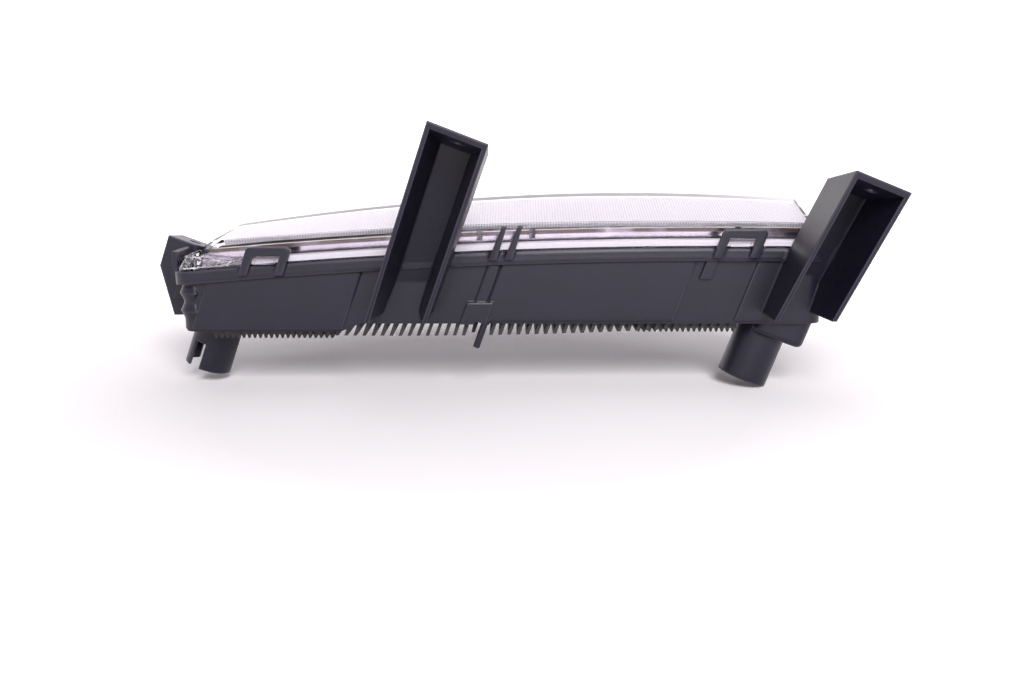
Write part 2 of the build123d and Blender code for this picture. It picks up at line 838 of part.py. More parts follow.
gasket_plate = level_plate(
    -wall - gasket_edge, sink_top, floor_height, recess_left + gasket_edge, recess_right - gasket_edge
)
gasket_opening = level_plate(-opening_inset, sink_top, floor_height, opening_left, opening_right)
with BuildPart() as heat_sink_gasket:
    add(gasket_plate)
    add(gasket_opening, mode=Mode.SUBTRACT)
    with BuildSketch(Plane.XY.offset(sink_top)):
        with Locations(*sink_screws_at):
            Circle(screw_radius + screw_play)
    extrude(amount=gasket_thickness, mode=Mode.SUBTRACT)
    with BuildSketch(breather_plane.offset(-reach)):
        Circle(breather_radius + breather_play)
    extrude(amount=2 * reach, mode=Mode.SUBTRACT)
heat_sink_gasket.part.label = "heat_sink_gasket"
export_step(heat_sink_gasket.part, "parts/heat_sink_gasket.step")

# Screws: heat sink screws enter from behind, board screws from the front
with BuildPart() as heat_sink_screws:
    with BuildSketch(Plane.XY.offset(sink_base_low)):
        with Locations(*sink_screws_at):
            Circle(head_radius)
    extrude(amount=-head_height)
    with BuildSketch(Plane.XY.offset(sink_base_low)):
        with Locations(*sink_screws_at):
            Circle(screw_radius)
    extrude(amount=sink_screw_length)
heat_sink_screws.part.label = "heat_sink_screws"
export_step(heat_sink_screws.part, "parts/heat_sink_screws.step")

with BuildPart() as board_screws:
    with BuildSketch(Plane.XY.offset(board_top)):
        with Locations(*board_screws_at):
            Circle(head_radius)
    extrude(amount=head_height)
    with BuildSketch(Plane.XY.offset(board_top)):
        with Locations(*board_screws_at):
            Circle(screw_radius)
    extrude(amount=-board_screw_length)
board_screws.part.label = "board_screws"
export_step(board_screws.part, "parts/board_screws.step")

# Driver board on its posts, its components and the link up to the LED board
driver_plate = level_plate(
    -wall - driver_inset, driver_height, driver_top, bay_left + driver_inset, body_right
)
with BuildPart() as driver_board:
    add(driver_plate)
driver_board.part.label = "driver_board"
export_step(driver_board.part, "parts/driver_board.step")

link_y = half_depth(link_x)
parts_x = body_right - part_spacing
with BuildPart() as driver_chip:
    with BuildSketch(Plane((parts_x, link_y - part_spacing, driver_top))):
        Rectangle(chip_size, chip_size)
    extrude(amount=part_height)
driver_chip.part.label = "driver_chip"
export_step(driver_chip.part, "parts/driver_chip.step")

with BuildPart() as driver_coil:
    with BuildSketch(Plane((parts_x, link_y, driver_top))):
        Circle(coil_radius)
    extrude(amount=part_height)
driver_coil.part.label = "driver_coil"
export_step(driver_coil.part, "parts/driver_coil.step")

with BuildPart() as driver_capacitor:
    with BuildSketch(Plane((parts_x, link_y + part_spacing, driver_top))):
        Circle(capacitor_radius)
    extrude(amount=part_height)
driver_capacitor.part.label = "driver_capacitor"
export_step(driver_capacitor.part, "parts/driver_capacitor.step")

with BuildPart() as board_link:
    with BuildSketch(Plane((link_x, link_y, driver_top))):
        Rectangle(link_thickness, link_width)
    extrude(amount=board_low - driver_top)
board_link.part.label = "board_link"
export_step(board_link.part, "parts/board_link.step")

# Connector header on the shroud's shoulder, with its terminals
header_back = plug_length - plug_depth
blades_at = [(blade_pitch * (i - 0.5), blade_pitch * (j - 0.5)) for i in (0, 1) for j in (0, 1)]
with BuildPart() as connector_header:
    with BuildSketch(plug_plane.offset(header_back)):
        Circle(plug_bore - header_play)
        with Locations(*blades_at):
            Rectangle(blade_width, blade_thickness, mode=Mode.SUBTRACT)
    extrude(amount=header_thickness)
connector_header.part.label = "connector_header"
export_step(connector_header.part, "parts/connector_header.step")

with BuildPart() as connector_terminals:
    with BuildSketch(plug_plane.offset(header_back - blade_reach)):
        with Locations(*blades_at):
            Rectangle(blade_width, blade_thickness)
    extrude(amount=2 * blade_reach + header_thickness)
connector_terminals.part.label = "connector_terminals"
export_step(connector_terminals.part, "parts/connector_terminals.step")

# Breather membrane over the vent
with BuildPart() as breather_membrane:
    with BuildSketch(Plane((vent_x, vent_y, floor_top))):
        Circle(membrane_radius)
    extrude(amount=membrane_thickness)
breather_membrane.part.label = "breather_membrane"
export_step(breather_membrane.part, "parts/breather_membrane.step")
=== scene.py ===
import math

import bpy
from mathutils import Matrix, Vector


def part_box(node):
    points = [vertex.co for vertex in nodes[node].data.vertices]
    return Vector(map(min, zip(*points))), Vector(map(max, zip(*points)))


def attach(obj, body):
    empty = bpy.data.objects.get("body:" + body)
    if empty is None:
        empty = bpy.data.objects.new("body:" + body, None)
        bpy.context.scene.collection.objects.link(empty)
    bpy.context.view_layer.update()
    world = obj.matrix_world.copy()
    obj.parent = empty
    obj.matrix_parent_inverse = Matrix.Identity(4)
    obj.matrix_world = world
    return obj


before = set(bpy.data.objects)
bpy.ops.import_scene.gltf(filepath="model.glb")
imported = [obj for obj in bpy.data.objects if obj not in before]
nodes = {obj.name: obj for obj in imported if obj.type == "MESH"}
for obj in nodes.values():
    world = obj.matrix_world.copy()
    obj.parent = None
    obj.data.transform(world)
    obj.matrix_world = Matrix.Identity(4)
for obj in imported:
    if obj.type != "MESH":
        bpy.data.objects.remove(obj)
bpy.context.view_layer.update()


# Housing: one black moulding of talc-filled polypropylene, with tray, rim, arms, loops and tubes
# in one piece. It comes out of a spark-eroded tool, so it is satin with a fine grain, and it is
# screwed on by its three arms.
mix_low, mix_high, mix_result = 6, 7, 2  # colour sockets of a Mix node
bow_middle, bow_radius = 0.125, 3.15  # where the lamp's bow is highest, and its arc


def linear(code):
    """Linear colour of an sRGB hex value."""
    shares = [int(code[i : i + 2], 16) / 255 for i in (1, 3, 5)]
    return [s / 12.92 if s <= 0.04045 else ((s + 0.055) / 1.055) ** 2.4 for s in shares] + [1]


def add_node(tree, kind, values=(), links=(), **settings):
    """Adds a shader node with its settings, socket values and links."""
    made = tree.nodes.new("ShaderNode" + kind)
    for name, value in settings.items():
        setattr(made, name, value)
    for socket, value in dict(values).items():
        made.inputs[socket].default_value = value
    for socket, source in dict(links).items():
        tree.links.new(source, made.inputs[socket])
    return made


def start_material(name):
    """New material, with its node tree, its shader and the Object coordinates."""
    made = bpy.data.materials.new(name)
    made.use_nodes = True
    tree = made.node_tree
    place = add_node(tree, "TexCoord").outputs["Object"]
    return made, tree, tree.nodes["Principled BSDF"], place


def dress(names, material):
    """Gives CAD nodes their finish."""
    for name in names:
        nodes[name].data.materials.clear()
        nodes[name].data.materials.append(material)


def without_bow(tree, place):
    """The axes of a place on the lamp, and its height as if the bow were laid straight."""
    axes = add_node(tree, "SeparateXYZ", (), {0: place})
    along = add_node(tree, "Math", {1: bow_middle}, {0: axes.outputs[0]}, operation="SUBTRACT")
    square = add_node(
        tree, "Math", (), {0: along.outputs[0], 1: along.outputs[0]}, operation="MULTIPLY"
    )
    sag = add_node(tree, "Math", {1: 2 * bow_radius}, {0: square.outputs[0]}, operation="DIVIDE")
    height = add_node(tree, "Math", (), {0: axes.outputs[2], 1: sag.outputs[0]}, operation="ADD")
    return axes, height


# Moulded polypropylene: near black with a violet cast, satin. The tool's 0.25 mm grain is too fine
# for the render, so it is drawn at 0.7 mm; slow flow marks change the gloss every 30 mm or so.
# Edges are rounded, and the rim, which follows the bow, is a full bullnose. Outer edges carry a
# grey painted highlight: where the rounding turns away from the face and nothing stands close by.
grain_size, grain_depth = 0.0007, 0.0001
flow_size = 0.03
edge_radius, rim_extra_radius = 0.0018, 0.0017
rim_middle, rim_half = 0.0385, 0.0045  # heights without the bow
rim_front = -0.0062
highlight_start, highlight_full = 0.99, 0.84  # cosine between rounding and face
highlight_reach = 0.004
highlight_shut, highlight_open = 0.7, 0.95  # share of free room round the edge
moulded, tree, shader, place = start_material("moulded_polypropylene")
grain = add_node(tree, "TexNoise", {"Scale": 1 / grain_size, "Detail": 2}, {"Vector": place})
flow = add_node(
    tree, "TexNoise", {"Scale": 1 / flow_size, "Detail": 4, "Roughness": 0.6}, {"Vector": place}
)
tint = add_node(
    tree,
    "Mix",
    {mix_low: linear("#0b0a13"), mix_high: linear("#1d1b2d")},
    {0: flow.outputs[0]},
    data_type="RGBA",
)
gloss = add_node(tree, "MapRange", {"To Min": 0.29, "To Max": 0.45}, {"Value": flow.outputs[0]})
axes, height = without_bow(tree, place)
level = add_node(
    tree, "Math", {1: rim_middle, 2: rim_half}, {0: height.outputs[0]}, operation="COMPARE"
)
flank = add_node(tree, "Math", {1: rim_front}, {0: axes.outputs[1]}, operation="GREATER_THAN")
rim = add_node(
    tree, "Math", (), {0: level.outputs[0], 1: flank.outputs[0]}, operation="MULTIPLY"
)
radius = add_node(
    tree,
    "Math",
    {1: rim_extra_radius, 2: edge_radius},
    {0: rim.outputs[0]},
    operation="MULTIPLY_ADD",
)
edges = add_node(tree, "Bevel", (), {"Radius": radius.outputs[0]}, samples=8)
relief = add_node(
    tree,
    "Bump",
    {"Strength": 0.25, "Distance": grain_depth},
    {"Height": grain.outputs[0], "Normal": edges.outputs[0]},
)
facing = add_node(tree, "NewGeometry")
turned = add_node(
    tree,
    "VectorMath",
    (),
    {0: edges.outputs[0], 1: facing.outputs["Normal"]},
    operation="DOT_PRODUCT",
)
edge = add_node(
    tree,
    "MapRange",
    {"From Min": highlight_start, "From Max": highlight_full},
    {"Value": turned.outputs["Value"]},
)
room = add_node(tree, "AmbientOcclusion", {"Distance": highlight_reach}, (), samples=8)
outer = add_node(
    tree, "MapRange", {"From Min": highlight_shut, "From Max": highlight_open}, {"Value": room.outputs["AO"]}
)
# Painted highlight: the tint turns grey along outer, open edges.
painted_edge_highlight = add_node(
    tree, "Math", (), {0: edge.outputs[0], 1: outer.outputs[0]}, operation="MULTIPLY"
)
edge_highlight_tint = add_node(
    tree,
    "Mix",
    {mix_high: linear("#403c4c")},
    {0: painted_edge_highlight.outputs[0], mix_low: tint.outputs[mix_result]},
    data_type="RGBA",
)
tree.links.new(edge_highlight_tint.outputs[mix_result], shader.inputs["Base Color"])
tree.links.new(gloss.outputs[0], shader.inputs["Roughness"])
tree.links.new(relief.outputs[0], shader.inputs["Normal"])
shader.inputs["IOR"].default_value = 1.41
dress(["housing"], moulded)


# Breather membrane: a disc of porous white film, welded over the breather tube's hole, so that
# the lamp breathes but stays dry. Its pores are too fine to show, so they are drawn at 0.5 mm.
pore_size = 0.0005
film, tree, shader, place = start_material("porous_film")
pores = add_node(tree, "TexVoronoi", {"Scale": 1 / pore_size}, {"Vector": place})
tint = add_node(
    tree,
    "Mix",
    {mix_low: linear("#c9c8c4"), mix_high: linear("#eeede9")},
    {0: pores.outputs[0]},
    data_type="RGBA",
)
tree.links.new(tint.outputs[mix_result], shader.inputs["Base Color"])
shader.inputs["Roughness"].default_value = 0.85
dress(["breather_membrane"], film)


# Heat sink: die-cast aluminium with a black dip coat, a plate in the housing's recess with fins
# behind it. The coat is thin and follows the cast skin, which is slightly pebbled and patchy.
pebble_size, pebble_depth = 0.0012, 0.0002
patch_size = 1 / 60  # 17 mm
coated, tree, shader, place = start_material("black_coated_aluminium")
pebble = add_node(tree, "TexNoise", {"Scale": 1 / pebble_size, "Detail": 3}, {"Vector": place})
patch = add_node(tree, "TexNoise", {"Scale": 1 / patch_size, "Detail": 3}, {"Vector": place})
tint = add_node(
    tree,
    "Mix",
    {mix_low: linear("#17171a"), mix_high: linear("#26262b")},
    {0: patch.outputs[0]},
    data_type="RGBA",
)
gloss = add_node(tree, "MapRange", {"To Min": 0.38, "To Max": 0.62}, {"Value": pebble.outputs[0]})
relief = add_node(
    tree, "Bump", {"Strength": 0.3, "Distance": pebble_depth}, {"Height": pebble.outputs[0]}
)
tree.links.new(tint.outputs[mix_result], shader.inputs["Base Color"])
tree.links.new(gloss.outputs[0], shader.inputs["Roughness"])
tree.links.new(relief.outputs[0], shader.inputs["Normal"])
dress(["heat_sink"], coated)


# Fin shade strips: dark strips at both ends of the sink, close behind the fins' near edges, put
# there as painted shade so that the gaps between the fins show dark. They have the sink's coated
# finish, are toothed below, and slant up to the plate at the inner end.
def lay_grid(name, columns, rows):
    """Adds a flat grid, 1 m wide round the origin, to be shaped by its points."""
    bpy.ops.object.select_all(action="DESELECT")
    bpy.ops.mesh.primitive_grid_add(x_subdivisions=columns, y_subdivisions=rows, size=1)
    bpy.context.object.name = name
    return bpy.context.object


def thicken(piece, thickness):
    """Gives a sheet its wall."""
    wall = piece.modifiers.new("wall", "SOLIDIFY")
    wall.thickness = thickness
    bpy.ops.object.modifier_apply(modifier="wall")


shade_strip_thickness, shade_strip_rounding = 0.002, 0.0003
shade_strip_y = 0.0058
shade_strip_top = 0.0032
shade_strip_pitch, shade_strip_tooth = 0.0034, 0.0022
tooth_points, tip_points = 4, (1, 2)  # along the lower edge, for each tooth
# Painted shade: dark strips behind the fins, so that their gaps show dark.
for side, shade_strip_left, shade_strip_right, shade_strip_low, shade_strip_slant in (
    ("left", -0.1505, -0.074, -0.0072, -0.009),
    ("right", 0.078, 0.1395, -0.0036, 0.006),
):
    points = tooth_points * round((shade_strip_right - shade_strip_left) / shade_strip_pitch)
    shade_strip = lay_grid(f"fin_shade_strip_{side}", points, 1)
    for v in shade_strip.data.vertices:
        share = v.co.x + 0.5
        x = shade_strip_left + share * (shade_strip_right - shade_strip_left)
        z = shade_strip_top
        if v.co.y < 0:
            x += shade_strip_slant * (share if shade_strip_slant < 0 else 1 - share)
            z = shade_strip_low - shade_strip_tooth * (round(share * points) % tooth_points in tip_points)
        v.co = (x, shade_strip_y, z)
    thicken(shade_strip, shade_strip_thickness)
    rounding = shade_strip.modifiers.new("rounding", "BEVEL")
    rounding.width = shade_strip_rounding
    rounding.segments = 2
    bpy.ops.object.modifier_apply(modifier="rounding")
    bpy.ops.object.shade_smooth_by_angle()
    shade_strip.data.materials.append(coated)
    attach(shade_strip, "root")


# Heat sink gasket: foam rubber, die-cut, and pressed between the plate and the tray's floor by
# the plate's screws. Its cells show as small dark pits, drawn at 0.8 mm.
cell_size, cell_depth = 0.0008, 0.0002
foam, tree, shader, place = start_material("foam_rubber")
cells = add_node(tree, "TexVoronoi", {"Scale": 1 / cell_size}, {"Vector": place})
tint = add_node(
    tree,
    "Mix",
    {mix_low: linear("#0d0d0e"), mix_high: linear("#222224")},
    {0: cells.outputs[0]},
    data_type="RGBA",
)
relief = add_node(
    tree, "Bump", {"Strength": 0.5, "Distance": cell_depth}, {"Height": cells.outputs[0]}
)
tree.links.new(tint.outputs[mix_result], shader.inputs["Base Color"])
tree.links.new(relief.outputs[0], shader.inputs["Normal"])
shader.inputs["Roughness"].default_value = 0.9
dress(["heat_sink_gasket"], foam)


# Screws: zinc-plated steel, six into the housing's bosses and two that clamp the LED board.
# The plating is bright, and mottled every millimetre or so.
mottle_size = 1 / 900  # 1.1 mm
plated, tree, shader, place = start_material("zinc_plated_steel")
mottle = add_node(tree, "TexNoise", {"Scale": 1 / mottle_size, "Detail": 3}, {"Vector": place})
tint = add_node(
    tree,
    "Mix",
    {mix_low: linear("#8f9094"), mix_high: linear("#c3c4c8")},
    {0: mottle.outputs[0]},
    data_type="RGBA",
)
gloss = add_node(tree, "MapRange", {"To Min": 0.22, "To Max": 0.4}, {"Value": mottle.outputs[0]})
tree.links.new(tint.outputs[mix_result], shader.inputs["Base Color"])
tree.links.new(gloss.outputs[0], shader.inputs["Roughness"])
shader.inputs["Metallic"].default_value = 1
dress(["heat_sink_screws", "board_screws"], plated)


# Thermal pad: soft blue-grey silicone filled with ceramic powder, cut from sheet and laid between
# the heat sink's pedestal and the LED board. The powder is drawn coarser than it is, to show.
powder_size = 1 / 1500  # 0.67 mm
silicone, tree, shader, place = start_material("filled_silicone")
powder = add_node(tree, "TexNoise", {"Scale": 1 / powder_size, "Detail": 2}, {"Vector": place})
tint = add_node(
    tree,
    "Mix",
    {mix_low: linear("#7f8c9c"), mix_high: linear("#a3afbc")},
    {0: powder.outputs[0]},
    data_type="RGBA",
)
tree.links.new(tint.outputs[mix_result], shader.inputs["Base Color"])
shader.inputs["Roughness"].default_value = 0.7
dress(["thermal_pad"], silicone)


# LED board: an aluminium-backed board under white solder mask, held by two screws. The mask is
# printed, so it is satin with a faint orange peel.
peel_size, peel_depth = 1 / 700, 0.0001  # 1.4 mm across
mask, tree, shader, place = start_material("white_solder_mask")
peel = add_node(tree, "TexNoise", {"Scale": 1 / peel_size, "Detail": 2}, {"Vector": place})
tint = add_node(
    tree,
    "Mix",
    {mix_low: linear("#d9dad5"), mix_high: linear("#eeeeea")},
    {0: peel.outputs[0]},
    data_type="RGBA",
)
relief = add_node(
    tree, "Bump", {"Strength": 0.1, "Distance": peel_depth}, {"Height": peel.outputs[0]}
)
tree.links.new(tint.outputs[mix_result], shader.inputs["Base Color"])
tree.links.new(relief.outputs[0], shader.inputs["Normal"])
shader.inputs["Roughness"].default_value = 0.45
dress(["led_board"], mask)


# LEDs: small packages, soldered flat on the LED board. The running light's are yellow phosphor in
# silicone and the indicator's are amber, both cast smooth, with specks drawn at 0.4 mm.
speck_size = 0.0004
for name, dark, light, leds in (
    ("phosphor_silicone", "#d8c25a", "#f2e28c", "white_leds"),
    ("amber_silicone", "#c46a12", "#ec962c", "amber_leds"),
):
    lamp, tree, shader, place = start_material(name)
    speck = add_node(tree, "TexNoise", {"Scale": 1 / speck_size, "Detail": 1}, {"Vector": place})
    tint = add_node(
        tree,
        "Mix",
        {mix_low: linear(dark), mix_high: linear(light)},
        {0: speck.outputs[0]},
        data_type="RGBA",
    )
    tree.links.new(tint.outputs[mix_result], shader.inputs["Base Color"])
    shader.inputs["Roughness"].default_value = 0.25
    dress([leds], lamp)


# Driver board: glass-epoxy laminate under green solder mask, on posts beside the heat sink. The
# weave of the glass cloth shows through faintly, drawn at about twice its size.
weave_pitch = 0.0012
wave_repeat = math.pi / 10  # metres between the bands of a Wave of Scale 1
epoxy, tree, shader, place = start_material("green_solder_mask")
warp, weft = (
    add_node(
        tree,
        "TexWave",
        {"Scale": wave_repeat / weave_pitch, "Distortion": 0.5},
        {"Vector": place},
        bands_direction=direction,
    )
    for direction in "XY"
)
weave = add_node(
    tree, "Math", (), {0: warp.outputs[1], 1: weft.outputs[1]}, operation="MULTIPLY"
)
tint = add_node(
    tree,
    "Mix",
    {mix_low: linear("#14532e"), mix_high: linear("#1f6b3d")},
    {0: weave.outputs[0]},
    data_type="RGBA",
)
tree.links.new(tint.outputs[mix_result], shader.inputs["Base Color"])
shader.inputs["Roughness"].default_value = 0.35
dress(["driver_board"], epoxy)


# Driver parts, board link and connector header: black glass-filled nylon and epoxy, moulded, and
# soldered to the boards or pressed into the shroud. They are matt, with fibres drawn at 0.9 mm.
fibre_size, fibre_depth = 1 / 1100, 0.0001
filled, tree, shader, place = start_material("glass_filled_nylon")
fibre = add_node(tree, "TexNoise", {"Scale": 1 / fibre_size, "Detail": 3}, {"Vector": place})
tint = add_node(
    tree,
    "Mix",
    {mix_low: linear("#161618"), mix_high: linear("#29292c")},
    {0: fibre.outputs[0]},
    data_type="RGBA",
)
relief = add_node(
    tree, "Bump", {"Strength": 0.2, "Distance": fibre_depth}, {"Height": fibre.outputs[0]}
)
tree.links.new(tint.outputs[mix_result], shader.inputs["Base Color"])
tree.links.new(relief.outputs[0], shader.inputs["Normal"])
shader.inputs["Roughness"].default_value = 0.6
dress(["driver_chip", "driver_coil", "board_link", "connector_header"], filled)


# Capacitor can and connector terminals: a can of drawn aluminium on the driver board, and brass
# blades with a dull tin plate in the header. Both are cloudy, every 0.8 mm or so.
cloud_size = 1 / 1200
for name, dark, light, piece in (
    ("drawn_aluminium", "#a9abb0", "#cfd1d6", "driver_capacitor"),
    ("tinned_brass", "#a8a088", "#cbc4ad", "connector_terminals"),
):
    metal, tree, shader, place = start_material(name)
    cloud = add_node(tree, "TexNoise", {"Scale": 1 / cloud_size, "Detail": 3}, {"Vector": place})
    tint = add_node(
        tree,
        "Mix",
        {mix_low: linear(dark), mix_high: linear(light)},
        {0: cloud.outputs[0]},
        data_type="RGBA",
    )
    gloss = add_node(
        tree, "MapRange", {"To Min": 0.25, "To Max": 0.42}, {"Value": cloud.outputs[0]}
    )
    tree.links.new(tint.outputs[mix_result], shader.inputs["Base Color"])
    tree.links.new(gloss.outputs[0], shader.inputs["Roughness"])
    shader.inputs["Metallic"].default_value = 1
    dress([piece], metal)


# Reflectors: polycarbonate, vacuum-metallised, so a mirror with a slight ripple from the moulding.
# Each is a bowed plate with a cup round every LED, resting on the LED board.
ripple_size, cup_ripple_depth = 0.012, 0.001
chrome, tree, shader, place = start_material("metallised_polycarbonate")
ripple = add_node(tree, "TexNoise", {"Scale": 1 / ripple_size, "Detail": 2}, {"Vector": place})
haze = add_node(tree, "MapRange", {"To Min": 0.03, "To Max": 0.12}, {"Value": ripple.outputs[0]})
relief = add_node(
    tree, "Bump", {"Strength": 0.12, "Distance": cup_ripple_depth}, {"Height": ripple.outputs[0]}
)
tree.links.new(haze.outputs[0], shader.inputs["Roughness"])
tree.links.new(relief.outputs[0], shader.inputs["Normal"])
shader.inputs["Base Color"].default_value = linear("#dcd9de")
shader.inputs["Metallic"].default_value = 1
dress(["running_reflector", "indicator_reflector"], chrome)


# Bezel: a frame of polycarbonate round both reflectors, metallised like them. A brown strip along
# its top edge, broken by streaks along its length, is a painted reflection, and there the frame is
# not metallic.
reflection_band_low, reflection_band_blend = 0.0494, 0.0003  # heights without the bow
streak_size = 0.03
reflection_showing_start, reflection_showing_full = 0.38, 0.5
frame_ripple_depth = 0.002
framed, tree, shader, place = start_material("metallised_polycarbonate_with_painted_reflection")
axes, height = without_bow(tree, place)
reflection_band = add_node(
    tree,
    "MapRange",
    {"From Min": reflection_band_low - reflection_band_blend, "From Max": reflection_band_low + reflection_band_blend},
    {"Value": height.outputs[0]},
)
length = add_node(tree, "CombineXYZ", (), {0: axes.outputs[0]})
streak = add_node(
    tree, "TexNoise", {"Scale": 1 / streak_size, "Detail": 3}, {"Vector": length.outputs[0]}
)
reflection_showing = add_node(
    tree,
    "MapRange",
    {"From Min": reflection_showing_start, "From Max": reflection_showing_full},
    {"Value": streak.outputs[0]},
)
# Painted reflection: a brown strip along the top edge, not metallic, broken by streaks.
painted_reflection = add_node(tree, "Math", (), {0: reflection_band.outputs[0], 1: reflection_showing.outputs[0]}, operation="MULTIPLY")
metal_share = add_node(tree, "Math", {0: 1}, {1: painted_reflection.outputs[0]}, operation="SUBTRACT")
tint = add_node(
    tree,
    "Mix",
    {mix_low: linear("#a9a2ad"), mix_high: linear("#57463e")},
    {0: painted_reflection.outputs[0]},
    data_type="RGBA",
)
ripple = add_node(tree, "TexNoise", {"Scale": 1 / ripple_size, "Detail": 2}, {"Vector": place})
haze = add_node(tree, "MapRange", {"To Min": 0.1, "To Max": 0.28}, {"Value": ripple.outputs[0]})
relief = add_node(
    tree, "Bump", {"Strength": 0.15, "Distance": frame_ripple_depth}, {"Height": ripple.outputs[0]}
)
tree.links.new(tint.outputs[mix_result], shader.inputs["Base Color"])
tree.links.new(metal_share.outputs[0], shader.inputs["Metallic"])
tree.links.new(haze.outputs[0], shader.inputs["Roughness"])
tree.links.new(relief.outputs[0], shader.inputs["Normal"])
dress(["bezel"], framed)


# Lens sealant: a bead of black sealant, run into the rim's gutter and cured round the lens's
# tongue, which it holds. Its skin is a little cloudy, every 2.5 mm or so.
skin_size = 0.0025
bead, tree, shader, place = start_material("cured_sealant")
skin = add_node(tree, "TexNoise", {"Scale": 1 / skin_size, "Detail": 3}, {"Vector": place})
tint = add_node(
    tree,
    "Mix",
    {mix_low: linear("#131314"), mix_high: linear("#232325")},
    {0: skin.outputs[0]},
    data_type="RGBA",
)
tree.links.new(tint.outputs[mix_result], shader.inputs["Base Color"])
shader.inputs["Roughness"].default_value = 0.5
dress(["lens_sealant"], bead)


# Lens: clear polycarbonate, polished and hard-coated, glued into the gutter by its tongue. Its
# wall shows the chrome behind it, with slow waves from the moulding. The IOR is set below
# polycarbonate's 1.58, until the bezel shows as clearly as it does through the real wall.
swirl_size, swirl_depth = 1 / 45, 0.001  # 22 mm across
clear, tree, shader, place = start_material("clear_polycarbonate")
swirl = add_node(tree, "TexNoise", {"Scale": 1 / swirl_size, "Detail": 2}, {"Vector": place})
relief = add_node(
    tree, "Bump", {"Strength": 0.05, "Distance": swirl_depth}, {"Height": swirl.outputs[0]}
)
tree.links.new(relief.outputs[0], shader.inputs["Normal"])
shader.inputs["Base Color"].default_value = linear("#fdfcfe")
shader.inputs["Transmission Weight"].default_value = 1
shader.inputs["Roughness"].default_value = 0.02
shader.inputs["IOR"].default_value = 1.3
dress(["lens"], clear)


# Flutes: fine half-round bars moulded across the inside of the lens's front, which spread the
# light. They are one sheet here, flat against the front wall and scalloped below, and its first
# row closes the corner behind the lens's near top edge.
def face_outwards():
    """Turns the faces of the piece in hand outwards."""
    bpy.ops.object.mode_set(mode="EDIT")
    bpy.ops.mesh.select_all(action="SELECT")
    bpy.ops.mesh.normals_make_consistent(inside=False)
    bpy.ops.object.mode_set(mode="OBJECT")


flute_pitch, flute_depth = 0.0015, 0.0003
flute_points = 4
sheet_thickness = 0.0005
front_wall = 0.0025
flute_left, flute_right = -0.142, 0.177
flute_near, near_drop = 0.0089, 0.0004
corner_near, corner_skin = 0.0073, 0.0004
plan_middle, plan_half = 0.011, 0.174  # the far edge is an arc in plan, leaning to the right
far_middle, far_lean, far_bend, far_inset = 0.056, 0.005, 0.011, 0.0115
above_lens = 0.2
columns = int((flute_right - flute_left) / flute_pitch) * flute_points
rows = 10
flutes = lay_grid("lens_flutes", columns, rows)
for v in flutes.data.vertices:
    x = flute_left + (v.co.x + 0.5) * (flute_right - flute_left)
    share = (x - plan_middle) / plan_half
    far = far_middle + far_lean * share - far_bend * share**2 - far_inset
    row = round((v.co.y + 0.5) * rows)
    y = corner_near if row == 0 else flute_near + (row - 1) / (rows - 1) * (far - flute_near)
    top = nodes["lens"].ray_cast((x, y, above_lens), (0, 0, -1))[1]
    v.co = (x, y, top.z - {0: corner_skin, 1: front_wall + near_drop}.get(row, front_wall))
bpy.ops.object.mode_set(mode="EDIT")
bpy.ops.mesh.select_all(action="SELECT")
bpy.ops.mesh.extrude_region_move(TRANSFORM_OT_translate={"value": (0, 0, -sheet_thickness)})
bpy.ops.object.mode_set(mode="OBJECT")
for v in flutes.data.vertices:
    if v.select:
        v.co.z -= flute_depth * abs(math.sin(math.pi * v.co.x / flute_pitch))
face_outwards()

# Fluted polycarbonate: hazy, and patchy every 3 mm or so. Its colour carries a painted highlight
# along each bar and painted shade in the grooves, because the render hardly resolves the bars.
haze_size = 1 / 300
fluted, tree, shader, place = start_material("fluted_polycarbonate")
swirl = add_node(tree, "TexNoise", {"Scale": 1 / haze_size, "Detail": 2}, {"Vector": place})
haze = add_node(tree, "MapRange", {"To Min": 0.3, "To Max": 0.45}, {"Value": swirl.outputs[0]})
bars = add_node(
    tree, "TexWave", {"Scale": wave_repeat / flute_pitch}, {"Vector": place}, bands_direction="X"
)
# Painted highlight along the bars and painted shade in the grooves.
tint = add_node(
    tree,
    "Mix",
    {mix_low: linear("#d0cbd5"), mix_high: linear("#fcf9fd")},
    {0: bars.outputs[1]},
    data_type="RGBA",
)
tree.links.new(tint.outputs[mix_result], shader.inputs["Base Color"])
tree.links.new(haze.outputs[0], shader.inputs["Roughness"])
shader.inputs["Transmission Weight"].default_value = 0.3
shader.inputs["IOR"].default_value = 1.58
flutes.data.materials.append(fluted)
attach(flutes, "root")


# Foot band: the lens's flange, which is pressed into the sealant, keeps the matt finish of the
# spark-eroded tool. Along the near side it is a low rib, as wide as the flange, that runs out into
# it at both ends. Its pale grey colour is a painted highlight for the clear flange's shine. The
# tool's grit is drawn coarser than it is, to show.
foot_height = 0.008
bow_top = 0.035


def foot_top(x):
    """Height of the flange's top, which follows the lamp's bow."""
    return bow_top - (x - bow_middle) ** 2 / (2 * bow_radius) + foot_height


